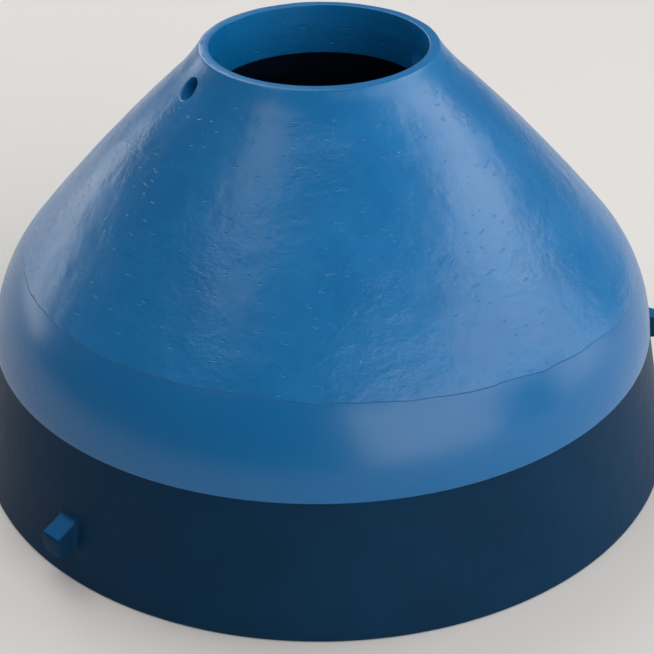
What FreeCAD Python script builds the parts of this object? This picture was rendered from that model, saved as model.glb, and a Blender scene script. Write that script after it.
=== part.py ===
import FreeCAD, Part
import math
import os
import Sketcher

# Cone crusher mantle: the manganese steel liner that sits over the crusher's
# cone head.  One casting, with its outer face machined round the belt and its
# inner face machined at the neck bore and at two conical seat rings.
# Millimetres and degrees.  +Z is up the axis, and the origin is on the axis in
# the plane that the mantle stands on.

# Driving dimensions.  Heights and radii that follow from them are worked out
# in the expressions below.
SIZES = {
    # outside
    "height": 698.0,            # floor to rim
    "base_radius": 600.0,       # outer edge of the foot
    "skirt_height": 222.0,      # foot to the lower edge of the belt
    "belt_set_in": 44.0,        # the belt's lower edge is this far inside the foot's
    "belt_lip": 1.5,            # the belt stands this far proud of the skirt
    "belt_rise": 142.0,         # height of the belt
    "belt_taper": 60.0,         # how much narrower the belt is at its top
    "belt_curve": 255.0,        # radius of the belt's bulging section
    "cone_curve": 3100.0,       # radius of the cone's slightly bulging section
    "flare_drop": 62.0,         # height of the flare under the rim
    "flare_curve": 330.5,       # radius of the flare's hollow section
    "rim_wall": 15.5,           # width of the flat rim
    # inside
    "bore_radius": 173.0,       # neck bore
    "bore_depth": 84.0,
    "head_step": 13.0,          # the cone starts this much wider than the bore
    "upper_seat": 70.0,         # height of the upper seat ring
    "knee_height": 309.0,       # inner corner between skirt and cone
    "foot_wall": 64.0,          # width of the foot's flat face
    "foot_angle": 12.0,         # lower seat ring, from upright
    "lower_seat": 110.0,        # height of the lower seat ring
    "relief": 6.0,              # cast clearance between the two seat rings
    # edges
    "knee_radius": 80.0,
    "foot_edge": 3.0,           # chamfer outside the foot
    "foot_lead": 6.0,           # chamfer inside the foot
    "rim_chamfer": 2.0,
    "lip_chamfer": 0.8,
    "bore_chamfer": 2.0,
    # handling lugs on the skirt
    "lug_width": 38.0,
    "lug_reach": 39.5,          # from the skirt to the lug's end face
    "lug_end": 34.0,            # height of the end face
    "lug_draft": 21.5,          # fall of the lug's top face
    "lug_bury": 22.0,           # overlap with the skirt's wall
    "lug_edge": 3.0,
    "lug_root": 6.0,
    # lifting holes through the neck
    "hole_radius": 19.0,
    "hole_drop": 57.0,          # rim to the hole's centre, on the bore's wall
    "hole_rise": 22.0,          # the hole climbs outwards by this angle
    "hole_turn": -157.0,        # direction of the first hole, from +X
    "hole_chamfer": 2.0,
}

# Each lug's direction from +X and the height of its top face at the skirt.
LUGS = {
    "left": (-132.8, 103.0),
    "right": (4.0, 180.0),
    "back": (115.6, 103.0),
}
HOLE_COUNT = 2
HOLE_CUT_IN = 30.0              # the drill runs on this far into the bore
HOLE_CUT_OUT = 100.0            # and starts this far outside the bore's wall
TOUCH = 0.01                    # an edge this near a place lies on it
CUT_SLACK = 0.01                # share by which the holes may differ
ROOT_RISE = 1.0                 # a lug's top edge bows up by less than this

doc = FreeCAD.newDocument("cone_crusher_mantle")


def add_sheet():
    sheet = doc.addObject("Spreadsheet::Sheet", "Sizes")
    values = dict(SIZES)
    for name, (turn, top) in LUGS.items():
        values[f"lug_{name}_turn"] = turn
        values[f"lug_{name}_top"] = top
    for row, (alias, value) in enumerate(values.items(), start=1):
        sheet.set(f"A{row}", alias)
        sheet.set(f"B{row}", str(value))
        sheet.setAlias(f"B{row}", alias)
    doc.recompute()
    return sheet


sheet = add_sheet()


def size(name):
    return float(sheet.get(name))


def add_body(name):
    body = doc.addObject("PartDesign::Body", name)
    body.Label = name
    return body


def origin_feature(body, role):
    for feature in body.Origin.OriginFeatures:
        if feature.Role == role:
            return feature
    raise RuntimeError(f"{body.Name} has no {role}")


def add_sketch(body, name, turn=None):
    """A sketch in the upright plane through the axis, turned from +X by the
    named angle: its x is the radius and its y is the height."""
    sketch = body.newObject("Sketcher::SketchObject", name)
    sketch.AttachmentSupport = [(origin_feature(body, "XZ_Plane"), "")]
    sketch.MapMode = "FlatFace"
    if turn:
        swing = FreeCAD.Rotation(FreeCAD.Vector(0, 1, 0), size(turn))
        sketch.AttachmentOffset = FreeCAD.Placement(FreeCAD.Vector(), swing)
        sketch.setExpression("AttachmentOffset.Rotation.Angle", f"Sizes.{turn}")
    return sketch


def bind(sketch, constraint, name, expression):
    """Adds a constraint, names it and ties it to the sheet."""
    index = sketch.addConstraint(constraint)
    sketch.renameConstraint(index, name)
    sketch.setExpression(f"Constraints.{name}", expression)


def place_point(sketch, edge, end, name, radius, height):
    """Ties one end of an edge to a radius and a height."""
    here = sketch.getPoint(edge, end)
    bind(sketch, Sketcher.Constraint("DistanceX", -1, 1, edge, end, here.x),
         f"{name}_radius", radius)
    if height is None:
        sketch.addConstraint(Sketcher.Constraint("PointOnObject", edge, end, -1))
    else:
        bind(sketch, Sketcher.Constraint("DistanceY", -1, 1, edge, end, here.y),
             f"{name}_height", height)


def point(radius, height):
    return FreeCAD.Vector(radius, height, 0)


def add_line(sketch, start, end):
    return sketch.addGeometry(Part.LineSegment(start, end), False)


def bulge(start, end, radius):
    """The arc from start to end that bulges to the right, or to the left for a
    negative radius."""
    chord = end - start
    side = FreeCAD.Vector(-chord.y, chord.x, 0).normalize()
    reach = math.sqrt(radius ** 2 - chord.dot(chord) / 4)
    centre = start + chord * 0.5 + side * math.copysign(reach, radius)
    return Part.Arc(start, centre - side * radius, end)


def join(sketch, first, second):
    """The end of one edge is the start of the next."""
    sketch.addConstraint(Sketcher.Constraint("Coincident", first, 2, second, 1))


def start_points():
    """First guess for the section's corners; the constraints then hold them."""
    s = SIZES
    rim = s["bore_radius"] + s["rim_wall"]
    belt = s["base_radius"] - s["belt_set_in"]
    foot = math.tan(math.radians(s["foot_angle"]))
    inner_foot = s["base_radius"] - s["foot_wall"]
    knee = inner_foot - s["knee_height"] * foot + s["relief"]
    bore_foot = s["height"] - s["bore_depth"]
    head = s["bore_radius"] + s["head_step"]
    cone = (knee - s["relief"] - head) / (bore_foot - s["knee_height"])
    seat_end = bore_foot - s["upper_seat"]
    belt_top = s["skirt_height"] + s["belt_rise"]
    lean = math.atan2(belt - s["belt_taper"] - rim, s["height"] - belt_top)
    half_turn = s["flare_drop"] / (2 * s["flare_curve"] * math.cos(lean))
    neck = rim + s["flare_drop"] * math.tan(lean - half_turn)
    return {
        "rim_in": point(s["bore_radius"], s["height"]),
        "rim_out": point(rim, s["height"]),
        "flare_end": point(neck, s["height"] - s["flare_drop"]),
        "belt_top": point(belt - s["belt_taper"], belt_top),
        "belt_edge": point(belt, s["skirt_height"]),
        "skirt_top": point(belt - s["belt_lip"], s["skirt_height"]),
        "foot_out": point(s["base_radius"], 0),
        "foot_in": point(inner_foot, 0),
        "lower_end": point(inner_foot - s["lower_seat"] * foot, s["lower_seat"]),
        "lower_step": point(inner_foot - s["lower_seat"] * foot + s["relief"],
                            s["lower_seat"]),
        "knee": point(knee, s["knee_height"]),
        "upper_step": point(head + s["upper_seat"] * cone + s["relief"], seat_end),
        "upper_end": point(head + s["upper_seat"] * cone, seat_end),
        "head": point(head, bore_foot),
        "bore_foot": point(s["bore_radius"], bore_foot),
    }


def add_casting(body):
    """The wall's section, turned round the axis.  Gives the inner knee's place."""
    sketch = add_sketch(body, "Section")
    at = start_points()
    rim = add_line(sketch, at["rim_in"], at["rim_out"])

    # The outer face from the belt's lower edge up to the rim: the machined belt,
    # the long cast cone, and the flare that the cone runs into smoothly.
    belt_arc = bulge(at["belt_edge"], at["belt_top"], SIZES["belt_curve"])
    cone_arc = bulge(at["belt_top"], at["flare_end"], SIZES["cone_curve"])
    flare_arc = bulge(at["flare_end"], at["rim_out"], -SIZES["flare_curve"])
    belt = sketch.addGeometry(belt_arc, False)
    cone = sketch.addGeometry(cone_arc, False)
    flare = sketch.addGeometry(flare_arc, False)

    lip = add_line(sketch, at["belt_edge"], at["skirt_top"])
    skirt = add_line(sketch, at["skirt_top"], at["foot_out"])
    foot = add_line(sketch, at["foot_out"], at["foot_in"])
    lower = add_line(sketch, at["foot_in"], at["lower_end"])
    lower_step = add_line(sketch, at["lower_end"], at["lower_step"])
    lower_relief = add_line(sketch, at["lower_step"], at["knee"])
    upper_relief = add_line(sketch, at["knee"], at["upper_step"])
    upper_step = add_line(sketch, at["upper_step"], at["upper_end"])
    upper = add_line(sketch, at["upper_end"], at["head"])
    shoulder = add_line(sketch, at["head"], at["bore_foot"])
    bore = add_line(sketch, at["bore_foot"], at["rim_in"])

    def arc_end(edge, corner):
        """Which end of the arc lies at the corner."""
        near = sketch.getPoint(edge, 1).distanceToPoint(corner)
        far = sketch.getPoint(edge, 2).distanceToPoint(corner)
        return 1 if near < far else 2

    def meet(kind, edge_a, edge_b, corner):
        ends = []
        for edge in (edge_a, edge_b):
            ends += [edge, arc_end(edge, corner)]
        sketch.addConstraint(Sketcher.Constraint(kind, *ends))

    meet("Coincident", rim, flare, at["rim_out"])
    meet("Tangent", flare, cone, at["flare_end"])
    meet("Coincident", cone, belt, at["belt_top"])
    meet("Coincident", belt, lip, at["belt_edge"])
    chain = [lip, skirt, foot, lower, lower_step, lower_relief, upper_relief,
             upper_step, upper, shoulder, bore, rim]
    for first, second in zip(chain, chain[1:]):
        join(sketch, first, second)
    for edge in (rim, lip, lower_step, upper_step, shoulder):
        sketch.addConstraint(Sketcher.Constraint("Horizontal", edge))
    sketch.addConstraint(Sketcher.Constraint("Vertical", bore))
    sketch.addConstraint(Sketcher.Constraint("Parallel", lower, lower_relief))
    sketch.addConstraint(Sketcher.Constraint("Parallel", upper, upper_relief))

    belt_radius = "(Sizes.base_radius - Sizes.belt_set_in)"
    place_point(sketch, rim, 1, "rim", "Sizes.bore_radius", "Sizes.height")
    place_point(sketch, belt, arc_end(belt, at["belt_top"]), "belt_top",
                f"{belt_radius} - Sizes.belt_taper",
                "Sizes.skirt_height + Sizes.belt_rise")
    place_point(sketch, lip, 1, "belt", belt_radius, "Sizes.skirt_height")
    place_point(sketch, skirt, 2, "foot_out", "Sizes.base_radius", None)
    place_point(sketch, foot, 2, "foot_in",
                "Sizes.base_radius - Sizes.foot_wall", None)
    bind(sketch, Sketcher.Constraint("DistanceY", flare,
                                     arc_end(flare, at["flare_end"]), rim, 2,
                                     SIZES["flare_drop"]),
         "flare_drop", "Sizes.flare_drop")
    bind(sketch, Sketcher.Constraint("DistanceX", rim, 1, rim, 2,
                                     SIZES["rim_wall"]),
         "rim_wall", "Sizes.rim_wall")
    bind(sketch, Sketcher.Constraint("DistanceX", lip, 2, lip, 1,
                                     SIZES["belt_lip"]),
         "lip_depth", "Sizes.belt_lip")
    bind(sketch, Sketcher.Constraint("DistanceY", bore, 1, bore, 2,
                                     SIZES["bore_depth"]),
         "bore_depth", "Sizes.bore_depth")
    bind(sketch, Sketcher.Constraint("DistanceX", shoulder, 2, shoulder, 1,
                                     SIZES["head_step"]),
         "head_step", "Sizes.head_step")
    bind(sketch, Sketcher.Constraint("DistanceY", upper, 1, upper, 2,
                                     SIZES["upper_seat"]),
         "upper_seat", "Sizes.upper_seat")
    bind(sketch, Sketcher.Constraint("DistanceY", lower, 1, lower, 2,
                                     SIZES["lower_seat"]),
         "lower_seat", "Sizes.lower_seat")
    bind(sketch, Sketcher.Constraint("DistanceX", lower_step, 1, lower_step, 2,
                                     SIZES["relief"]),
         "lower_relief", "Sizes.relief")
    bind(sketch, Sketcher.Constraint("DistanceX", upper_step, 2, upper_step, 1,
                                     SIZES["relief"]),
         "upper_relief", "Sizes.relief")
    bind(sketch, Sketcher.Constraint("DistanceY", -1, 1, upper_relief, 1,
                                     SIZES["knee_height"]),
         "knee_height", "Sizes.knee_height")
    from_level = math.radians(90 + SIZES["foot_angle"])
    bind(sketch, Sketcher.Constraint("Angle", lower, from_level),
         "foot_angle", "90 + Sizes.foot_angle")
    bind(sketch, Sketcher.Constraint("Radius", belt, SIZES["belt_curve"]),
         "belt_curve", "Sizes.belt_curve")
    bind(sketch, Sketcher.Constraint("Radius", cone, SIZES["cone_curve"]),
         "cone_curve", "Sizes.cone_curve")
    bind(sketch, Sketcher.Constraint("Radius", flare, SIZES["flare_curve"]),
         "flare_curve", "Sizes.flare_curve")

    casting = body.newObject("PartDesign::Revolution", "Casting")
    casting.Profile = sketch
    casting.ReferenceAxis = (sketch, ["V_Axis"])
    casting.Angle = 360
    sketch.Visibility = False
    doc.recompute()
    return sketch.getPoint(upper_relief, 1)


def is_ring(edge, radius, height):
    """True for a circle round the axis at this radius and height."""
    curve = edge.Curve
    if not isinstance(curve, Part.Circle):
        return False
    near = abs(curve.Radius - radius) < TOUCH
    return near and abs(curve.Center.z - height) < TOUCH


def ring_name(shape, radius, height):
    for number, edge in enumerate(shape.Edges, start=1):
        if is_ring(edge, radius, height):
            return f"Edge{number}"
    raise RuntimeError(f"no edge at radius {radius:.1f}, height {height:.1f}")


def dress(body, kind, name, edges, size_property, expression):
    """Rounds or chamfers edges of the body as it stands."""
    base = body.Tip
    feature = body.newObject(f"PartDesign::{kind}", name)
    feature.Base = (base, edges)
    feature.setExpression(size_property, expression)
    doc.recompute()


def finish_rings(body, knee):
    """The turned edges: each is found by its radius and height."""
    rim = size("bore_radius") + size("rim_wall")
    belt = size("base_radius") - size("belt_set_in")
    foot_in = size("base_radius") - size("foot_wall")
    bore_foot = size("height") - size("bore_depth")
    edges = [ring_name(body.Shape, knee.x, knee.y)]
    dress(body, "Fillet", "Knee", edges, "Radius", "Sizes.knee_radius")
    chamfers = [
        ("RimEdge", "rim_chamfer", rim, size("height")),
        ("BeltEdge", "lip_chamfer", belt, size("skirt_height")),
        ("BoreTop", "bore_chamfer", size("bore_radius"), size("height")),
        ("BoreFoot", "bore_chamfer", size("bore_radius"), bore_foot),
        ("FootEdge", "foot_edge", size("base_radius"), 0.0),
        ("FootInside", "foot_lead", foot_in, 0.0),
    ]
    for name, alias, radius, height in chamfers:
        edges = [ring_name(body.Shape, radius, height)]
        dress(body, "Chamfer", name, edges, "Size", f"Sizes.{alias}")


def skirt_radius(height):
    """Radius of the skirt's outer face at a height."""
    spread = size("belt_set_in") + size("belt_lip")
    return size("base_radius") - spread * height / size("skirt_height")


def lug_corners(name):
    """The section of a lug, from the buried end of its top face outwards, down
    and back."""
    top = size(f"lug_{name}_top")
    slope = math.tan(math.radians(size("lug_draft")))
    inner = skirt_radius(top) - size("lug_bury")
    outer = skirt_radius(top) + size("lug_reach")
    end_top = top - size("lug_reach") * slope
    bottom = end_top - size("lug_end")
    return [point(inner, top + size("lug_bury") * slope), point(outer, end_top),
            point(outer, bottom), point(inner, bottom)]


def add_lug(body, name):
    """A cast handling lug: a block standing out of the skirt, level underneath,
    with a top face that falls outwards."""
    sketch = add_sketch(body, f"LugSection_{name}", f"lug_{name}_turn")
    corners = lug_corners(name)
    loop = [add_line(sketch, start, end)
            for start, end in zip(corners, corners[1:] + corners[:1])]
    for first, second in zip(loop, loop[1:] + loop[:1]):
        join(sketch, first, second)
    upper, end, bottom, buried = loop
    sketch.addConstraint(Sketcher.Constraint("Vertical", end))
    sketch.addConstraint(Sketcher.Constraint("Horizontal", bottom))
    sketch.addConstraint(Sketcher.Constraint("Vertical", buried))
    top = f"Sizes.lug_{name}_top"
    spread = "(Sizes.belt_set_in + Sizes.belt_lip)"
    skirt = f"(Sizes.base_radius - {spread} * {top} / Sizes.skirt_height)"
    slope = "tan(Sizes.lug_draft * 1 deg)"
    place_point(sketch, upper, 1, "buried", f"{skirt} - Sizes.lug_bury",
                f"{top} + Sizes.lug_bury * {slope}")
    place_point(sketch, upper, 2, "end", f"{skirt} + Sizes.lug_reach",
                f"{top} - Sizes.lug_reach * {slope}")
    bind(sketch, Sketcher.Constraint("DistanceY", end, 2, end, 1,
                                     SIZES["lug_end"]),
         "end_drop", "Sizes.lug_end")
    pad = body.newObject("PartDesign::Pad", f"Lug_{name}")
    pad.Profile = sketch
    pad.Midplane = True
    pad.setExpression("Length", "Sizes.lug_width")
    sketch.Visibility = False
    doc.recompute()


def lug_edges(body, name, at_root):
    """The lug's edges along the skirt, or else those that stand clear of it."""
    turn = math.radians(size(f"lug_{name}_turn"))
    along = FreeCAD.Vector(math.cos(turn), math.sin(turn), 0)
    across = FreeCAD.Vector(-math.sin(turn), math.cos(turn), 0)
    half = size("lug_width") / 2 + TOUCH
    highest = size(f"lug_{name}_top") + ROOT_RISE
    lowest = lug_corners(name)[-1].y - TOUCH
    found = []
    for number, edge in enumerate(body.Shape.Edges, start=1):
        ends = [vertex.Point for vertex in edge.Vertexes]
        if not all(abs(end.dot(across)) < half and end.dot(along) > 0
                   and lowest < end.z < highest for end in ends):
            continue
        stand = [math.hypot(end.x, end.y) - skirt_radius(end.z) for end in ends]
        if at_root == (max(stand) < TOUCH):
            found.append(f"Edge{number}")
    return found


def finish_lugs(body):
    """Breaks each lug's edges, and rounds the corner where it leaves the skirt."""
    for name in LUGS:
        edges = lug_edges(body, name, at_root=False)
        dress(body, "Chamfer", f"LugEdges_{name}", edges, "Size", "Sizes.lug_edge")
    for name in LUGS:
        edges = lug_edges(body, name, at_root=True)
        dress(body, "Fillet", f"LugRoot_{name}", edges, "Radius", "Sizes.lug_root")


def add_lifting_holes(body):
    """A round hole that climbs outwards from the neck bore, repeated round the
    axis."""
    sketch = add_sketch(body, "HoleSection", "hole_turn")
    rise = math.radians(SIZES["hole_rise"])
    along = point(math.cos(rise), math.sin(rise))
    wall = point(-math.sin(rise), math.cos(rise)) * SIZES["hole_radius"]
    mouth = point(SIZES["bore_radius"], SIZES["height"] - SIZES["hole_drop"])
    inner = mouth - along * HOLE_CUT_IN
    outer = mouth + along * HOLE_CUT_OUT
    axis = add_line(sketch, inner, outer)
    outer_end = add_line(sketch, outer, outer + wall)
    side = add_line(sketch, outer + wall, inner + wall)
    inner_end = add_line(sketch, inner + wall, inner)
    loop = [axis, outer_end, side, inner_end]
    for first, second in zip(loop, loop[1:] + loop[:1]):
        join(sketch, first, second)
    for first, second in zip(loop, loop[1:]):
        sketch.addConstraint(Sketcher.Constraint("Perpendicular", first, second))
    place_point(sketch, axis, 1, "inner",
                f"Sizes.bore_radius - {HOLE_CUT_IN} * cos(Sizes.hole_rise * 1 deg)",
                "Sizes.height - Sizes.hole_drop"
                f" - {HOLE_CUT_IN} * sin(Sizes.hole_rise * 1 deg)")
    sketch.addConstraint(Sketcher.Constraint("Distance", axis,
                                             HOLE_CUT_IN + HOLE_CUT_OUT))
    bind(sketch, Sketcher.Constraint("Angle", axis, rise),
         "rise", "Sizes.hole_rise")
    bind(sketch, Sketcher.Constraint("Distance", outer_end, SIZES["hole_radius"]),
         "radius", "Sizes.hole_radius")
    solid = body.Shape.Volume
    drill = body.newObject("PartDesign::Groove", "LiftingHole")
    drill.Profile = sketch
    drill.ReferenceAxis = (sketch, ["Edge1"])
    drill.Angle = 360
    sketch.Visibility = False
    doc.recompute()
    one_hole = solid - body.Shape.Volume
    pattern = body.newObject("PartDesign::PolarPattern", "LiftingHoles")
    pattern.Originals = [drill]
    pattern.Axis = (origin_feature(body, "Z_Axis"), [""])
    pattern.Angle = 360
    pattern.Occurrences = HOLE_COUNT
    body.Tip = pattern
    doc.recompute()
    thinnest = math.pi * size("hole_radius") ** 2 * size("rim_wall")
    cut = solid - body.Shape.Volume
    if one_hole < thinnest or abs(cut - HOLE_COUNT * one_hole) > CUT_SLACK * cut:
        raise RuntimeError("the lifting holes did not cut through the neck")


def is_drilled(face):
    """True for the round wall of a lifting hole."""
    surface = face.Surface
    if not isinstance(surface, Part.Cylinder):
        return False
    return abs(surface.Radius - size("hole_radius")) < TOUCH


def hole_mouths(body):
    """The edges of the lifting holes in the outer face."""
    drilled = [face for face in body.Shape.Faces if is_drilled(face)]
    rims = [edge for face in drilled for edge in face.Edges
            if all(math.hypot(end.X, end.Y) > size("bore_radius") + TOUCH
                   for end in edge.Vertexes)]
    return [f"Edge{number}" for number, edge in enumerate(body.Shape.Edges, start=1)
            if any(edge.isSame(rim) for rim in rims)]


body = add_body("mantle")
knee = add_casting(body)
finish_rings(body, knee)
for name in LUGS:
    add_lug(body, name)
finish_lugs(body)
add_lifting_holes(body)
dress(body, "Chamfer", "HoleMouths", hole_mouths(body), "Size",
      "Sizes.hole_chamfer")

for item in doc.Objects:
    if "Invalid" in item.State or "Error" in item.State:
        raise RuntimeError(f"{item.Name} failed: {item.State}")
if body.Shape.isNull() or not body.Shape.isValid() or len(body.Shape.Solids) != 1:
    raise RuntimeError("the mantle is not one valid solid")
os.makedirs("parts", exist_ok=True)
body.Shape.exportStep(f"parts/{body.Label}.step")
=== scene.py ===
import math

import bmesh
import bpy
from mathutils import Matrix, Vector


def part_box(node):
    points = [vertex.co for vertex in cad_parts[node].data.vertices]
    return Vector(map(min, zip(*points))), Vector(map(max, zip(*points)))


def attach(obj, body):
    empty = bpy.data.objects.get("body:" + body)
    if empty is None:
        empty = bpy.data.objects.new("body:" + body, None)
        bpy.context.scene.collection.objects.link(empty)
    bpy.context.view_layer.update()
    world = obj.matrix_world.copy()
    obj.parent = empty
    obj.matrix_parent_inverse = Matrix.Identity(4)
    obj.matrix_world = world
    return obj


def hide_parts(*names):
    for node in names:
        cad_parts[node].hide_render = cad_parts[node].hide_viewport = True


# Cone crusher mantle: one bell-shaped steel casting, painted light blue down to
# the lower edge of its machined belt and navy below it.  Metres; +Z is up the
# axis, and an angle is a direction round the axis from +X.

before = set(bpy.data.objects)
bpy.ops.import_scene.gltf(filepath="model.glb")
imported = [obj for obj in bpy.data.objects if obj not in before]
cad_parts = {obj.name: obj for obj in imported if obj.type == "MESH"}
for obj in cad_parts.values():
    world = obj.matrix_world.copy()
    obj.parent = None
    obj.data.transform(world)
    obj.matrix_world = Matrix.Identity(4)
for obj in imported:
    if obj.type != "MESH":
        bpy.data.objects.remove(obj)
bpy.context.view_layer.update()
mantle_low, mantle_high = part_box("mantle")

# The section, from the mantle's own box inwards.
FOOT_EDGE = 0.003
SKIRT_HEIGHT = 0.222
BELT_SET_IN = 0.044
BELT_LIP = 0.0015
BELT_RISE = 0.142
BELT_TAPER = 0.060
BELT_CURVE = 0.255
CONE_CURVE = 3.100
FLARE_DROP = 0.062
FLARE_SPREAD = 0.0515
FLARE_CURVE = 0.3305
BORE_RADIUS = 0.173
RIM_WALL = 0.0155
BORE_DEPTH = 0.084
HEAD_STEP = 0.013
UPPER_SEAT = 0.070
KNEE_HEIGHT = 0.309
FOOT_WALL = 0.064
FOOT_ANGLE = math.radians(12)
LOWER_SEAT = 0.110
RELIEF = 0.006

SKIRT_SLOPE = (BELT_SET_IN + BELT_LIP) / SKIRT_HEIGHT
BASE_RADIUS = mantle_high.y + FOOT_EDGE * SKIRT_SLOPE
FLOOR = mantle_low.z
HEIGHT = mantle_high.z - mantle_low.z
BELT_RADIUS = BASE_RADIUS - BELT_SET_IN
BELT_TOP = SKIRT_HEIGHT + BELT_RISE

# The lugs on the skirt, each by its direction and the height of its top face.
LUGS = [(math.radians(-132.8), 0.103), (math.radians(4.0), 0.180),
        (math.radians(115.6), 0.103)]
LUG_WIDTH = 0.038
LUG_REACH = 0.0395
LUG_END = 0.034
LUG_DRAFT = math.radians(21.5)
LUG_EDGE = 0.004
LUG_ROOT = 0.007
LUG_BURY = 0.004
LUG_BURIED_SWELL = 0.75         # share of the root's swell inside the skirt
LUG_ROOT_RINGS = 7
LUG_EDGE_RINGS = 6
LUG_END_ROUNDING = 0.999        # share of LUG_EDGE that the end face is set in
LOOP_STEPS = 4                  # steps round each corner of a lug's ring
SHARPEST_CORNER = 0.0005

# The lifting holes through the neck.
HOLE_TURNS = [math.radians(-157.0), math.radians(23.0)]
HOLE_RADIUS = 0.019
HOLE_DROP = 0.057
HOLE_RISE = math.radians(22.0)
HOLE_LIP = 0.0025
HOLE_CUT_IN = 0.04              # the cut runs on this far into the bore
HOLE_CUT_OUT = 0.03             # and starts this far outside the cone
HOLE_SEARCH = 0.12              # the cone's face lies nearer than this
HOLE_STEPS = 48
HOLE_LIP_RINGS = 7
HOLE_SEAT_OFFSET = 1e-4         # off the axis, so that a seat has a direction

# The skin as cast: low lumps in the mesh, and the edge where the belt was turned.
LUMP_HEIGHT = 0.0012
LUMPS_PER_METRE = 26.0
EDGE_DIP = 0.042                # how far the edge dips towards +X
EDGE_WAVE = 0.012               # how much it wanders
EDGE_BLEND = 0.0008
EDGE_STEP = 0.6                 # millimetres that the skin stands over the belt
COLLAR_FOOT = 0.040             # the skin smooths out from here, below the rim,
COLLAR_TOP = 0.015              # to here
SEAT_BLEND = 0.001

STEPS = 576                     # faces round the axis
HALVINGS = 30                   # of a range, to find a place in it
MERGE_DISTANCE = 1e-5
CREASE_ANGLE = 0.6              # an edge that bends more than this stays sharp


def srgb(red, green, blue):
    """A colour given as it looks on a screen, 0 to 255, made linear."""
    def linear(value):
        value /= 255
        return value / 12.92 if value <= 0.04045 else ((value + 0.055) / 1.055) ** 2.4
    return (linear(red), linear(green), linear(blue), 1.0)


# --- The section ----------------------------------------------------------


def along(start, end, curve, share):
    """A point part of the way from start to end, on the arc of radius curve that
    bulges to the right (to the left if negative), or on a line if curve is 0."""
    middle = start.lerp(end, share)
    if not curve:
        return middle
    chord = end - start
    half = chord.length / 2
    side = Vector((-chord.y, chord.x)).normalized() * math.copysign(1, curve)
    centre = (start + end) / 2 + side * math.sqrt(curve * curve - half * half)
    turn = math.asin(half / abs(curve)) * (2 * share - 1)
    spoke = -side * abs(curve)
    turn *= math.copysign(1, curve)
    return centre + Vector((spoke.x * math.cos(turn) - spoke.y * math.sin(turn),
                            spoke.x * math.sin(turn) + spoke.y * math.cos(turn)))


class Run:
    """A stretch of the section: where it goes, how closely it is divided, how far
    the corner at its end is rounded, and whether its skin is as cast."""

    def __init__(self, end, spacing, corner=0.0, curve=0.0, cast=False):
        self.end = Vector(end)
        self.spacing = spacing
        self.corner = corner
        self.curve = curve
        self.cast = cast


def outline():
    """The section's corners, from the belt's lower edge up over the rim, down the
    inside and back up the skirt."""
    rim = BORE_RADIUS + RIM_WALL
    neck = HEIGHT - FLARE_DROP
    bore_foot = HEIGHT - BORE_DEPTH
    head = BORE_RADIUS + HEAD_STEP
    inner_foot = BASE_RADIUS - FOOT_WALL
    seat_top = inner_foot - LOWER_SEAT * math.tan(FOOT_ANGLE)
    knee = inner_foot - KNEE_HEIGHT * math.tan(FOOT_ANGLE) + RELIEF
    lean = (knee - RELIEF - head) / (bore_foot - KNEE_HEIGHT)
    seat_end = head + UPPER_SEAT * lean
    blue = [
        Run((BELT_RADIUS - BELT_TAPER, BELT_TOP), 0.0070, curve=BELT_CURVE),
        Run((rim + FLARE_SPREAD, neck), 0.0058, curve=CONE_CURVE, cast=True),
        Run((rim, HEIGHT), 0.0058, corner=0.0025, curve=-FLARE_CURVE, cast=True),
        Run((BORE_RADIUS, HEIGHT), 0.006, corner=0.0018),
        Run((BORE_RADIUS, bore_foot), 0.020, corner=0.0020),
    ]
    inner = [
        Run((head, bore_foot), 0.010, corner=0.0030),
        Run((seat_end, bore_foot - UPPER_SEAT), 0.020, corner=0.0008),
        Run((seat_end + RELIEF, bore_foot - UPPER_SEAT), 0.006, corner=0.0030),
        Run((knee, KNEE_HEIGHT), 0.022, corner=0.0200, cast=True),
        Run((seat_top + RELIEF, LOWER_SEAT), 0.022, corner=0.0030, cast=True),
        Run((seat_top, LOWER_SEAT), 0.006, corner=0.0008),
        Run((inner_foot, 0.0), 0.030, corner=0.0060),
    ]
    navy = [
        Run((BASE_RADIUS, 0.0), 0.020, corner=0.0050),
        Run((BELT_RADIUS - BELT_LIP, SKIRT_HEIGHT), 0.0090, corner=0.0006),
        Run((BELT_RADIUS, SKIRT_HEIGHT), 0.001, corner=0.0011),
    ]
    return blue, inner, navy


def section_rows(runs):
    """Points down the whole section as (radius, height, cast skin) rows, with each
    corner rounded, and how many rows each run and its corner take."""
    rows, counts = [], []
    for number, run in enumerate(runs):
        last = runs[number - 1]
        following = runs[(number + 1) % len(runs)]
        start = last.end
        length = (run.end - start).length
        low = last.corner / length
        high = 1 - run.corner / length
        divisions = max(1, round(length * (high - low) / run.spacing))
        made = [along(start, run.end, run.curve, low + (high - low) * step / divisions)
                for step in range(divisions + bool(run.corner))]
        if run.corner:
            ahead = run.corner / (following.end - run.end).length
            first = made[-1]
            third = along(run.end, following.end, following.curve, ahead)
            for share in (0.25, 0.5, 0.75):
                made.append(first.lerp(run.end, share).lerp(
                    run.end.lerp(third, share), share))
        rows += [(point.x, point.y, float(run.cast)) for point in made]
        counts.append(len(made))
    return rows, counts


# --- Node building --------------------------------------------------------


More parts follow.
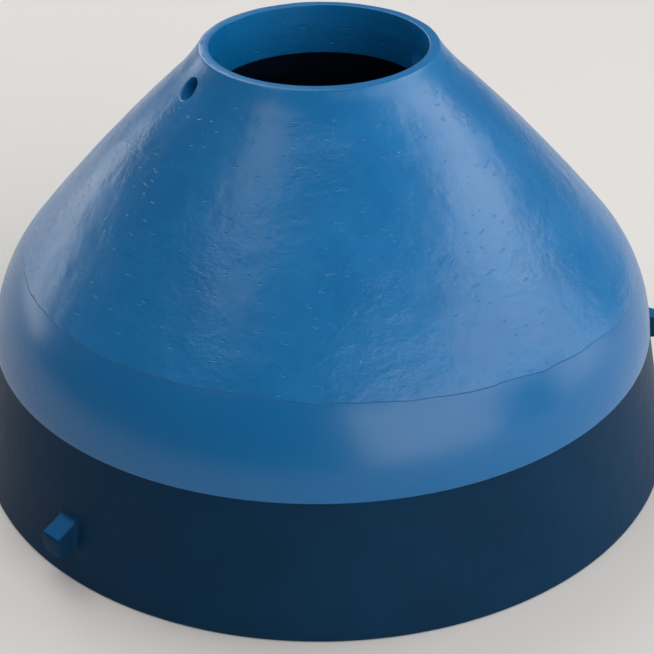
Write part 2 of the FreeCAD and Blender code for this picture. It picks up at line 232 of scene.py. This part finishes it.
class Graph:
    """A node tree, and short ways to add nodes to it."""

    def __init__(self, tree):
        self.tree = tree

    def feed(self, socket, value):
        """Links a socket to another one, or sets its value."""
        if isinstance(value, bpy.types.NodeSocket):
            self.tree.links.new(value, socket)
        else:
            socket.default_value = value

    def node(self, kind, inputs=None, **settings):
        node = self.tree.nodes.new(kind)
        for name, value in settings.items():
            setattr(node, name, value)
        for name, value in (inputs or {}).items():
            self.feed(node.inputs[name], value)
        return node

    def math(self, operation, *values):
        node = self.node("ShaderNodeMath", operation=operation)
        for number, value in enumerate(values):
            self.feed(node.inputs[number], value)
        return node.outputs[0]

    def vector(self, operation, *values):
        node = self.node("ShaderNodeVectorMath", operation=operation)
        for number, value in enumerate(values):
            self.feed(node.inputs[number], value)
        return node.outputs[0]

    def scaled(self, vector, factor):
        return self.node("ShaderNodeVectorMath", {"Scale": factor, 0: vector},
                         operation="SCALE").outputs[0]

    def ramp(self, value, low, high, to_low=0.0, to_high=1.0):
        """A smooth step of value from low to high."""
        node = self.node("ShaderNodeMapRange",
                         {"Value": value, "From Min": low, "From Max": high,
                          "To Min": to_low, "To Max": to_high},
                         interpolation_type="SMOOTHSTEP")
        return node.outputs["Result"]

    def noise(self, vector, scale, detail=2.0, roughness=0.5, distortion=0.0):
        node = self.node("ShaderNodeTexNoise", {"Vector": vector, "Scale": scale,
                                                "Detail": detail,
                                                "Roughness": roughness,
                                                "Distortion": distortion})
        return node.outputs[0]

    def mix(self, share, first, second):
        node = self.node("ShaderNodeMix", {"Factor": share}, data_type="RGBA")
        self.feed(node.inputs[6], first)
        self.feed(node.inputs[7], second)
        return node.outputs[2]


def new_group(name, kind, inputs, outputs):
    """A node group with its sockets, as a Graph, with its input and output nodes."""
    tree = bpy.data.node_groups.new(name, kind)
    for label, socket in inputs:
        tree.interface.new_socket(label, in_out="INPUT", socket_type=socket)
    for label, socket in outputs:
        tree.interface.new_socket(label, in_out="OUTPUT", socket_type=socket)
    graph = Graph(tree)
    given = graph.node("NodeGroupInput").outputs
    result = graph.node("NodeGroupOutput").inputs
    return graph, given, result


# --- Paints ---------------------------------------------------------------


def cast_skin_group():
    """The skin of a sand casting under paint: low lumps, fine crinkles, folds and
    short nicks, as a height in millimetres."""
    graph, given, result = new_group(
        "Cast skin", "ShaderNodeTree",
        [("Vector", "NodeSocketVector"), ("Crinkle", "NodeSocketFloat"),
         ("Folds", "NodeSocketFloat"), ("Nicks", "NodeSocketFloat")],
        [("Height", "NodeSocketFloat")])
    place = given["Vector"]
    wander = graph.node("ShaderNodeTexNoise", {"Vector": place, "Scale": 70.0})
    wander = graph.scaled(wander.outputs["Color"], 0.008)
    crinkle = graph.noise(graph.vector("ADD", place, wander), 110.0, detail=4.0,
                          roughness=0.65)
    crinkle = graph.math("MULTIPLY", crinkle, given["Crinkle"])
    lying = graph.vector("MULTIPLY", place, (1.0, 1.0, 1.8))
    folds = graph.noise(lying, 34.0, detail=3.0, roughness=0.55, distortion=0.6)
    folds = graph.math("MULTIPLY", graph.ramp(folds, 0.35, 0.65), given["Folds"])
    flat = graph.vector("MULTIPLY", place, (1.0, 1.0, 4.0))
    nicks = graph.ramp(graph.noise(flat, 62.0, detail=0.0), 0.76, 0.84)
    nicks = graph.math("MULTIPLY", nicks, given["Nicks"])
    height = graph.math("ADD", graph.noise(place, 24.0, detail=1.0), crinkle)
    height = graph.math("ADD", height, folds)
    graph.feed(result["Height"], graph.math("SUBTRACT", height, nicks))
    return graph.tree


def turning_lines_group():
    """The fine rings that a lathe tool leaves, still to be seen under the paint."""
    graph, given, result = new_group(
        "Turning lines", "ShaderNodeTree",
        [("Vector", "NodeSocketVector")], [("Height", "NodeSocketFloat")])
    stretched = graph.vector("MULTIPLY", given["Vector"], (3.0, 3.0, 300.0))
    rings = graph.noise(stretched, 1.0, detail=3.0, roughness=0.6)
    flat = graph.vector("MULTIPLY", given["Vector"], (1.0, 1.0, 7.0))
    scores = graph.ramp(graph.noise(flat, 42.0, detail=0.0), 0.78, 0.84)
    graph.feed(result["Height"],
               graph.math("SUBTRACT", rings, graph.math("MULTIPLY", scores, 0.9)))
    return graph.tree


def cast_edge_group():
    """The height at which the cast skin ends and the turned belt begins.  The
    casting sat a little out of true in the lathe, so the edge dips on one side."""
    graph, given, result = new_group(
        "Cast edge", "ShaderNodeTree",
        [("Vector", "NodeSocketVector")], [("Height", "NodeSocketFloat")])
    flat = graph.vector("MULTIPLY", given["Vector"], (1.0, 1.0, 0.0))
    towards = graph.node("ShaderNodeSeparateXYZ",
                         {"Vector": graph.vector("NORMALIZE", flat)}).outputs["X"]
    side = graph.math("MULTIPLY_ADD", towards, 0.5, 0.5)
    dip = graph.math("MULTIPLY", graph.math("POWER", side, 3.0), EDGE_DIP)
    wave = graph.noise(given["Vector"], 9.0, detail=3.0, roughness=0.6)
    level = graph.math("MULTIPLY_ADD", wave, EDGE_WAVE, BELT_TOP - EDGE_WAVE / 2)
    graph.feed(result["Height"], graph.math("SUBTRACT", level, dip))
    return graph.tree


CAST_SKIN = cast_skin_group()
TURNING_LINES = turning_lines_group()
CAST_EDGE = cast_edge_group()


def new_material(name):
    material = bpy.data.materials.new(name)
    material.use_nodes = True
    graph = Graph(material.node_tree)
    surface = material.node_tree.nodes["Principled BSDF"]
    place = graph.node("ShaderNodeTexCoord").outputs["Object"]
    return material, graph, surface, place


def group_height(graph, tree, inputs):
    node = graph.node("ShaderNodeGroup", node_tree=tree)
    for name, value in inputs.items():
        graph.feed(node.inputs[name], value)
    return node.outputs["Height"]


def bump(graph, height):
    """A Bump node for a height in millimetres."""
    return graph.node("ShaderNodeBump", {"Height": height, "Strength": 1.0,
                                         "Distance": 0.001}).outputs["Normal"]


def blue_paint():
    material, graph, surface, place = new_material("Blue paint")
    height = graph.node("ShaderNodeSeparateXYZ", {"Vector": place}).outputs["Z"]

    # The cast skin lies between the turned belt and a smooth collar under the rim.
    edge = group_height(graph, CAST_EDGE, {"Vector": place})
    above = graph.math("SUBTRACT", height, edge)
    cast = graph.ramp(above, -EDGE_BLEND, EDGE_BLEND)
    collar = graph.ramp(height, HEIGHT - COLLAR_FOOT, HEIGHT - COLLAR_TOP, 1.0, 0.0)
    patches = graph.ramp(graph.noise(place, 7.0, detail=3.0, roughness=0.6), 0.38, 0.62)
    skin = group_height(graph, CAST_SKIN, {
        "Vector": place,
        "Crinkle": graph.math("MULTIPLY_ADD", patches, 0.5, 0.25),
        "Folds": graph.math("MULTIPLY_ADD", patches, 0.25, 0.05),
        "Nicks": 0.5})
    skin = graph.math("MULTIPLY", skin, graph.math("MULTIPLY", cast, collar))
    rings = group_height(graph, TURNING_LINES, {"Vector": place})
    rings = graph.math("MULTIPLY", rings, graph.math("MULTIPLY_ADD", cast, -0.04, 0.04))
    total = graph.math("ADD", skin, rings)
    total = graph.math("MULTIPLY_ADD", cast, EDGE_STEP, total)
    graph.feed(surface.inputs["Normal"], bump(graph, total))

    mottle = graph.ramp(graph.noise(place, 8.0, detail=3.0, roughness=0.6), 0.3, 0.7)
    colour = graph.mix(mottle, srgb(10, 101, 158), srgb(14, 107, 165))
    belt = graph.mix(cast, srgb(9, 98, 154), colour)
    graph.feed(surface.inputs["Base Color"], belt)
    graph.feed(surface.inputs["Roughness"],
               graph.math("MULTIPLY_ADD", mottle, 0.06, 0.24))
    surface.inputs["Specular IOR Level"].default_value = 0.45
    return material


def navy_paint():
    material, graph, surface, place = new_material("Navy paint")
    mottle = graph.ramp(graph.noise(place, 6.0, detail=3.0, roughness=0.6), 0.3, 0.7)
    # Faces that point up, the lug tops above all, are mixed towards a lighter blue: a
    # painted highlight where light from above falls on them.
    facing = graph.node("ShaderNodeTexCoord").outputs["Normal"]
    up = graph.node("ShaderNodeSeparateXYZ", {"Vector": facing}).outputs["Z"]
    navy = graph.mix(mottle, srgb(9, 44, 70), srgb(11, 49, 78))
    graph.feed(surface.inputs["Base Color"],
               graph.mix(graph.ramp(up, 0.55, 0.95), navy, srgb(18, 84, 136)))
    skin = group_height(graph, CAST_SKIN, {"Vector": place, "Crinkle": 0.08,
                                           "Folds": 0.05, "Nicks": 0.0})
    graph.feed(surface.inputs["Normal"], bump(graph, skin))
    graph.feed(surface.inputs["Roughness"],
               graph.math("MULTIPLY_ADD", mottle, 0.08, 0.40))
    surface.inputs["Specular IOR Level"].default_value = 0.06
    return material


def inner_paint():
    material, graph, surface, place = new_material("Inner paint")
    mottle = graph.ramp(graph.noise(place, 9.0, detail=4.0, roughness=0.6), 0.3, 0.7)
    graph.feed(surface.inputs["Base Color"],
               graph.mix(mottle, srgb(6, 32, 56), srgb(9, 40, 66)))
    height = graph.node("ShaderNodeSeparateXYZ", {"Vector": place}).outputs["Z"]
    low = graph.ramp(height, LOWER_SEAT - SEAT_BLEND, LOWER_SEAT + SEAT_BLEND)
    seat_end = HEIGHT - BORE_DEPTH - UPPER_SEAT
    high = graph.ramp(height, seat_end - SEAT_BLEND, seat_end + SEAT_BLEND, 1.0, 0.0)
    cast = graph.math("MULTIPLY", low, high)
    skin = group_height(graph, CAST_SKIN, {"Vector": place, "Crinkle": 0.3,
                                           "Folds": 0.3, "Nicks": 0.3})
    rings = group_height(graph, TURNING_LINES, {"Vector": place})
    rings = graph.math("MULTIPLY", rings, graph.math("MULTIPLY_ADD", cast, -0.06, 0.06))
    graph.feed(surface.inputs["Normal"],
               bump(graph, graph.math("MULTIPLY_ADD", skin, cast, rings)))
    graph.feed(surface.inputs["Roughness"],
               graph.math("MULTIPLY_ADD", mottle, 0.10, 0.50))
    surface.inputs["Specular IOR Level"].default_value = 0.12
    return material


BLUE = blue_paint()
NAVY = navy_paint()
INNER = inner_paint()


# --- Pieces that the tree repeats -----------------------------------------


def point_cloud(name, points):
    mesh = bpy.data.meshes.new(name)
    mesh.from_pydata(points, [], [])
    cloud = bpy.data.objects.new(name, mesh)
    bpy.context.scene.collection.objects.link(cloud)
    return cloud


def loft(name, rings, material):
    """A closed mesh through rings of as many points each, capped at both ends."""
    shape = bmesh.new()
    loops = [[shape.verts.new(point) for point in ring] for ring in rings]
    for near, far in zip(loops, loops[1:]):
        for number in range(len(near)):
            after = (number + 1) % len(near)
            shape.faces.new((near[number], near[after], far[after], far[number]))
    shape.faces.new(loops[0][::-1])
    shape.faces.new(loops[-1])
    bmesh.ops.recalc_face_normals(shape, faces=shape.faces)
    mesh = bpy.data.meshes.new(name)
    shape.to_mesh(mesh)
    shape.free()
    mesh.materials.append(material)
    piece = bpy.data.objects.new(name, mesh)
    bpy.context.scene.collection.objects.link(piece)
    return piece


def skirt_radius(height):
    return BASE_RADIUS - SKIRT_SLOPE * height


def rounded_loop(half_width, low, high, radius, grow):
    """A rounded rectangle as (across, up) points: radius at its corners, made
    larger all round by grow."""
    loop = []
    corner = max(radius + grow, SHARPEST_CORNER)
    for turn, (side, level) in enumerate(((1, high), (-1, high), (-1, low), (1, low))):
        inward = 1 if level == high else -1
        centre = (side * (half_width + grow - corner), level + inward * (grow - corner))
        for step in range(LOOP_STEPS + 1):
            angle = math.pi / 2 * (turn + step / LOOP_STEPS)
            loop.append((centre[0] + corner * math.cos(angle),
                         centre[1] + corner * math.sin(angle)))
    return loop


def lug_shape():
    """A lug whose origin is where its top face meets the skirt: a rounded block
    that falls outwards on top and swells into the skirt at its root."""
    fall = math.tan(LUG_DRAFT)
    bottom = -LUG_REACH * fall - LUG_END
    rings = []
    stations = [(-LUG_BURY, LUG_ROOT * LUG_BURIED_SWELL)]
    for step in range(1, LUG_ROOT_RINGS + 1):
        angle = math.pi / 2 * (step / LUG_ROOT_RINGS)
        stations.append((LUG_ROOT * (1 - math.cos(angle)),
                         LUG_ROOT * (1 - math.sin(angle))))
    for step in range(LUG_EDGE_RINGS):
        angle = math.pi / 2 * step / (LUG_EDGE_RINGS - 1)
        stations.append((LUG_REACH - LUG_EDGE * (1 - math.sin(angle)),
                         -LUG_EDGE * (1 - math.cos(angle)) * LUG_END_ROUNDING))
    for out, grow in stations:
        share = max(0.0, out / LUG_REACH)
        top = -out * fall
        ring = []
        for across, up in rounded_loop(LUG_WIDTH / 2, bottom, top, LUG_EDGE, grow):
            lean = -SKIRT_SLOPE * up * (1 - share)
            curl = -across * across / (2 * BASE_RADIUS) * (1 - share)
            ring.append((out + lean + curl, across, up))
        rings.append(ring)
    return loft("lug shape", rings, NAVY)


def hole_shape():
    """The space of a lifting hole, flared where it leaves the cone, drawn in the
    plane of the first hole and turned from there."""
    axis = Vector((math.cos(HOLE_RISE), 0, math.sin(HOLE_RISE)))
    lift = Vector((-math.sin(HOLE_RISE), 0, math.cos(HOLE_RISE)))
    across = Vector((0, 1, 0))
    mouth = Vector((BORE_RADIUS, 0, HEIGHT - HOLE_DROP))

    def surface(radius, angle):
        """How far along the axis a line at this radius meets the outer face."""
        offset = lift * math.sin(angle) * radius + across * math.cos(angle) * radius
        low, high = 0.0, HOLE_SEARCH
        for _ in range(HALVINGS):
            middle = (low + high) / 2
            point = mouth + offset + axis * middle
            if math.hypot(point.x, point.y) < outer_radius(point.z):
                low = middle
            else:
                high = middle
        return offset, low

    angles = [2 * math.pi * step / HOLE_STEPS for step in range(HOLE_STEPS)]
    rings = [[mouth + lift * math.sin(angle) * HOLE_RADIUS
              + across * math.cos(angle) * HOLE_RADIUS - axis * HOLE_CUT_IN
              for angle in angles]]
    for step in range(HOLE_LIP_RINGS):
        turn = math.pi / 2 * step / (HOLE_LIP_RINGS - 1)
        radius = HOLE_RADIUS + HOLE_LIP * (1 - math.cos(turn))
        depth = HOLE_LIP * (1 - math.sin(turn))
        ring = []
        for angle in angles:
            offset, reach = surface(radius, angle)
            ring.append(mouth + offset + axis * (reach - depth))
        rings.append(ring)
    rings.append([point + axis * HOLE_CUT_OUT for point in rings[-1]])
    return loft("hole shape", rings, BLUE)


def outer_radius(height):
    """Radius of the flare at a height."""
    rim = BORE_RADIUS + RIM_WALL
    low = Vector((rim + FLARE_SPREAD, HEIGHT - FLARE_DROP))
    high = Vector((rim, HEIGHT))
    near, far = 0.0, 1.0
    for _ in range(HALVINGS):
        share = (near + far) / 2
        if along(low, high, -FLARE_CURVE, share).y < height:
            near = share
        else:
            far = share
    return along(low, high, -FLARE_CURVE, share).x


# --- The casting ----------------------------------------------------------


def turned_casting_tree():
    """Turns rows of points into a closed ring of faces round the axis, lifts the
    cast skin into low lumps, adds a lug at each lug seat and cuts a hole at each
    hole seat."""
    graph, given, result = new_group(
        "Turned casting", "GeometryNodeTree",
        [("Section", "NodeSocketGeometry"), ("Steps", "NodeSocketInt"),
         ("Blue Rows", "NodeSocketInt"), ("Inner Rows", "NodeSocketInt"),
         ("Lump Height", "NodeSocketFloat"), ("Lumps per Metre", "NodeSocketFloat"),
         ("Lug", "NodeSocketObject"), ("Lug Seats", "NodeSocketObject"),
         ("Hole", "NodeSocketObject"), ("Hole Seats", "NodeSocketObject")],
        [("Casting", "NodeSocketGeometry")])
    rows = graph.node("GeometryNodeAttributeDomainSize",
                      {"Geometry": given["Section"]}).outputs["Point Count"]
    around = graph.math("ADD", given["Steps"], 1.0)
    grid = graph.node("GeometryNodeMeshGrid",
                      {"Vertices X": graph.math("ADD", rows, 1.0), "Vertices Y": around})
    index = graph.node("GeometryNodeInputIndex").outputs[0]
    row = graph.math("MODULO",
                     graph.math("FLOOR", graph.math("DIVIDE", index, around)), rows)
    turn = graph.math("DIVIDE", graph.math("MODULO", index, around), given["Steps"])
    turn = graph.math("MULTIPLY", turn, 2 * math.pi)
    place = graph.node("GeometryNodeInputPosition").outputs[0]
    sample = graph.node("GeometryNodeSampleIndex",
                        {"Geometry": given["Section"], "Value": place, "Index": row},
                        data_type="FLOAT_VECTOR", domain="POINT")
    corner = graph.node("ShaderNodeSeparateXYZ", {"Vector": sample.outputs[0]}).outputs
    swept = graph.node("ShaderNodeCombineXYZ", {
        "X": graph.math("MULTIPLY", corner["X"], graph.math("COSINE", turn)),
        "Y": graph.math("MULTIPLY", corner["X"], graph.math("SINE", turn)),
        "Z": corner["Z"]}).outputs[0]
    cast = graph.node("GeometryNodeInputNamedAttribute", {"Name": "cast"},
                      data_type="FLOAT").outputs["Attribute"]
    cast = graph.node("GeometryNodeSampleIndex",
                      {"Geometry": given["Section"], "Value": cast, "Index": row},
                      data_type="FLOAT", domain="POINT").outputs[0]
    held = graph.node("GeometryNodeCaptureAttribute",
                      {"Geometry": grid.outputs["Mesh"]}, domain="POINT")
    held.capture_items.new("FLOAT", "cast")
    graph.feed(held.inputs["cast"], cast)
    ring = graph.node("GeometryNodeSetPosition",
                      {"Geometry": held.outputs["Geometry"], "Position": swept})

    # Faces are numbered row by row, so the finishes follow the rows.
    face_row = graph.math("FLOOR", graph.math("DIVIDE", index, given["Steps"]))
    painted = graph.node("GeometryNodeSetMaterial",
                         {"Geometry": ring.outputs[0], "Material": NAVY})
    inside = graph.math("LESS_THAN", face_row, given["Inner Rows"])
    painted = graph.node("GeometryNodeSetMaterial",
                         {"Geometry": painted.outputs[0], "Selection": inside,
                          "Material": INNER})
    outside = graph.math("LESS_THAN", face_row, given["Blue Rows"])
    painted = graph.node("GeometryNodeSetMaterial",
                         {"Geometry": painted.outputs[0], "Selection": outside,
                          "Material": BLUE})
    closed = graph.node("GeometryNodeMergeByDistance",
                        {"Geometry": painted.outputs[0],
                         "Distance": MERGE_DISTANCE})

    # Low lumps along the normal, none of them on the machined faces.
    lumps = graph.noise(place, given["Lumps per Metre"], detail=2.0, roughness=0.5)
    lumps = graph.math("MULTIPLY", graph.math("SUBTRACT", lumps, 0.5),
                       graph.math("MULTIPLY", given["Lump Height"],
                                  held.outputs["cast"]))
    normal = graph.node("GeometryNodeInputNormal").outputs[0]
    shift = graph.scaled(normal, lumps)
    rough = graph.node("GeometryNodeSetPosition",
                       {"Geometry": closed.outputs[0], "Offset": shift})

    def repeated(shape, seats):
        seat = graph.node("GeometryNodeObjectInfo", {"Object": given[seats]})
        form = graph.node("GeometryNodeObjectInfo", {"Object": given[shape]})
        spot = graph.node("ShaderNodeSeparateXYZ", {"Vector": place}).outputs
        facing = graph.math("ARCTAN2", spot["Y"], spot["X"])
        turned = graph.node("ShaderNodeCombineXYZ", {"Z": facing}).outputs[0]
        placed = graph.node("GeometryNodeInstanceOnPoints",
                            {"Points": seat.outputs["Geometry"],
                             "Instance": form.outputs["Geometry"],
                             "Rotation": turned})
        return graph.node("GeometryNodeRealizeInstances",
                          {"Geometry": placed.outputs[0]}).outputs[0]

    with_lugs = graph.node("GeometryNodeMeshBoolean", operation="UNION",
                           solver="EXACT")
    graph.feed(with_lugs.inputs["Mesh 2"], rough.outputs[0])
    graph.feed(with_lugs.inputs["Mesh 2"], repeated("Lug", "Lug Seats"))
    drilled = graph.node("GeometryNodeMeshBoolean",
                         {"Mesh 1": with_lugs.outputs["Mesh"]},
                         operation="DIFFERENCE", solver="EXACT")
    graph.feed(drilled.inputs["Mesh 2"], repeated("Hole", "Hole Seats"))

    bend = graph.node("GeometryNodeInputMeshEdgeAngle").outputs["Unsigned Angle"]
    smooth = graph.node("GeometryNodeSetShadeSmooth",
                        {"Geometry": drilled.outputs["Mesh"]}, domain="FACE")
    creased = graph.node("GeometryNodeSetShadeSmooth",
                         {"Geometry": smooth.outputs[0],
                          "Selection": graph.math("GREATER_THAN", bend, CREASE_ANGLE),
                          "Shade Smooth": False}, domain="EDGE")
    final = graph.node("GeometryNodeRealizeInstances",
                       {"Geometry": creased.outputs[0]})
    graph.feed(result["Casting"], final.outputs[0])
    return graph.tree


def turned_casting():
    blue, inner, navy = outline()
    rows, counts = section_rows(blue + inner + navy)
    section = point_cloud("mantle_casting", [(radius, 0, height + FLOOR)
                                             for radius, height, cast in rows])
    skin = section.data.attributes.new("cast", "FLOAT", "POINT")
    skin.data.foreach_set("value", [cast for radius, height, cast in rows])

    lug = lug_shape()
    lug_seats = point_cloud("lug seats", [
        (skirt_radius(top) * math.cos(turn), skirt_radius(top) * math.sin(turn), top)
        for turn, top in LUGS])
    hole = hole_shape()
    hole_seats = point_cloud("hole seats", [
        (HOLE_SEAT_OFFSET * math.cos(turn), HOLE_SEAT_OFFSET * math.sin(turn), 0)
        for turn in HOLE_TURNS])

    tree = turned_casting_tree()
    modifier = section.modifiers.new("Turned casting", "NODES")
    modifier.node_group = tree
    sizes = {"Steps": STEPS, "Blue Rows": sum(counts[:len(blue)]),
             "Inner Rows": sum(counts[:len(blue) + len(inner)]),
             "Lump Height": LUMP_HEIGHT, "Lumps per Metre": LUMPS_PER_METRE,
             "Lug": lug, "Lug Seats": lug_seats, "Hole": hole, "Hole Seats": hole_seats}
    for item in tree.interface.items_tree:
        if item.in_out == "INPUT" and item.name in sizes:
            modifier[item.identifier] = sizes[item.name]

    settled = section.evaluated_get(bpy.context.evaluated_depsgraph_get())
    mesh = bpy.data.meshes.new_from_object(settled)
    section.modifiers.clear()
    section.data = mesh
    for helper in (lug, lug_seats, hole, hole_seats):
        bpy.data.objects.remove(helper)
    return section


casting = turned_casting()
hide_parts("mantle")
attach(casting, "root")


# --- Floor, light and camera ----------------------------------------------

PALE = (0.700, 0.680, 0.660, 1.0)
FLOOR_RADIUS = 30.0
OBJECT_MIDDLE = Vector((0, 0, FLOOR + HEIGHT * 0.45))
LAMP_DISTANCE = 7.0

# Softboxes, as seen from the mantle: azimuth (0 is in front, at -Y, and 90 is on
# the right, at +X), elevation, width and height, all in degrees, and brightness.
SOFTBOXES = {
    "overhead": (0, 90, 30, 30, 2.0),
    "back_left_high": (-145, 55, 34, 28, 3.2),
    "back_left": (-158, 25, 26, 28, 2.4),
    "back_left_low": (-125, 6, 36, 12, 2.2),
    "left": (-55, 57, 20, 22, 2.0),
    "front_right": (34, 20, 46, 42, 2.5),
    "right_front": (72, 33, 24, 22, 2.6),
    "right": (105, 35, 32, 20, 4.0),
    "right_low": (92, 10, 26, 22, 2.2),
}
AMBIENT = 0.15
BACKDROP = 1.1                  # brightness of what lies beyond the floor

# The camera: how far in front of the axis and above the floor, the angles that it
# is turned by, and its lens in millimetres on a sensor of that width.
CAMERA_BACK = 2.26627
CAMERA_RISE = 1.57004
CAMERA_PAN = 0.0030828
CAMERA_TILT = 0.5515960
CAMERA_ROLL = -0.0126334
LENS = 83.995
SENSOR = 36.0
NEAREST = 0.05


def pale_floor():
    shape = bmesh.new()
    bmesh.ops.create_circle(shape, cap_ends=True, radius=FLOOR_RADIUS, segments=96)
    mesh = bpy.data.meshes.new("floor")
    shape.to_mesh(mesh)
    shape.free()
    floor = bpy.data.objects.new("floor", mesh)
    floor.location.z = FLOOR
    bpy.context.scene.collection.objects.link(floor)
    material = bpy.data.materials.new("Pale floor")
    material.use_nodes = True
    surface = material.node_tree.nodes["Principled BSDF"]
    surface.inputs["Base Color"].default_value = PALE
    surface.inputs["Roughness"].default_value = 0.9
    surface.inputs["Specular IOR Level"].default_value = 0.0
    mesh.materials.append(material)


def softbox(name, azimuth, elevation, width, height, brightness):
    """A rectangular lamp that faces the mantle, of even brightness."""
    lamp = bpy.data.lights.new(name, "AREA")
    lamp.shape = "RECTANGLE"
    lamp.size = 2 * LAMP_DISTANCE * math.tan(math.radians(width / 2))
    lamp.size_y = 2 * LAMP_DISTANCE * math.tan(math.radians(height / 2))
    lamp.energy = brightness * math.pi * lamp.size * lamp.size_y
    box = bpy.data.objects.new(name, lamp)
    turn, rise = math.radians(azimuth), math.radians(elevation)
    away = Vector((math.sin(turn) * math.cos(rise), -math.cos(turn) * math.cos(rise),
                   math.sin(rise)))
    box.location = OBJECT_MIDDLE + away * LAMP_DISTANCE
    box.rotation_euler = away.to_track_quat("Z", "Y").to_euler()
    bpy.context.scene.collection.objects.link(box)


def soft_light():
    for name, (azimuth, elevation, width, height, brightness) in SOFTBOXES.items():
        softbox(name, azimuth, elevation, width, height, brightness)
    world = bpy.data.worlds.new("studio")
    bpy.context.scene.world = world
    world.use_nodes = True
    graph = Graph(world.node_tree)
    ambient = world.node_tree.nodes["Background"]
    ambient.inputs["Color"].default_value = (1, 1, 1, 1)
    ambient.inputs["Strength"].default_value = AMBIENT
    seen = graph.node("ShaderNodeBackground", {"Color": PALE, "Strength": BACKDROP})
    path = graph.node("ShaderNodeLightPath").outputs["Is Camera Ray"]
    blend = graph.node("ShaderNodeMixShader", {"Fac": path})
    graph.feed(blend.inputs[1], ambient.outputs[0])
    graph.feed(blend.inputs[2], seen.outputs[0])
    graph.feed(world.node_tree.nodes["World Output"].inputs["Surface"],
               blend.outputs[0])


def camera():
    """The camera in front of the mantle, looking down on it."""
    flat = math.cos(CAMERA_TILT)
    ahead = Vector((math.sin(CAMERA_PAN) * flat, math.cos(CAMERA_PAN) * flat,
                    -math.sin(CAMERA_TILT)))
    level = Vector((math.cos(CAMERA_PAN), -math.sin(CAMERA_PAN), 0))
    upright = level.cross(ahead)
    right = math.cos(CAMERA_ROLL) * level + math.sin(CAMERA_ROLL) * upright
    top = -math.sin(CAMERA_ROLL) * level + math.cos(CAMERA_ROLL) * upright
    data = bpy.data.cameras.new("camera")
    data.sensor_width = SENSOR
    data.lens = LENS
    data.clip_start = NEAREST
    viewer = bpy.data.objects.new("camera", data)
    viewer.matrix_world = Matrix((
        (right.x, top.x, -ahead.x, 0.0),
        (right.y, top.y, -ahead.y, -CAMERA_BACK),
        (right.z, top.z, -ahead.z, CAMERA_RISE),
        (0, 0, 0, 1)))
    bpy.context.scene.collection.objects.link(viewer)
    bpy.context.scene.camera = viewer


pale_floor()
soft_light()
camera()
bpy.context.scene.view_settings.view_transform = "Standard"
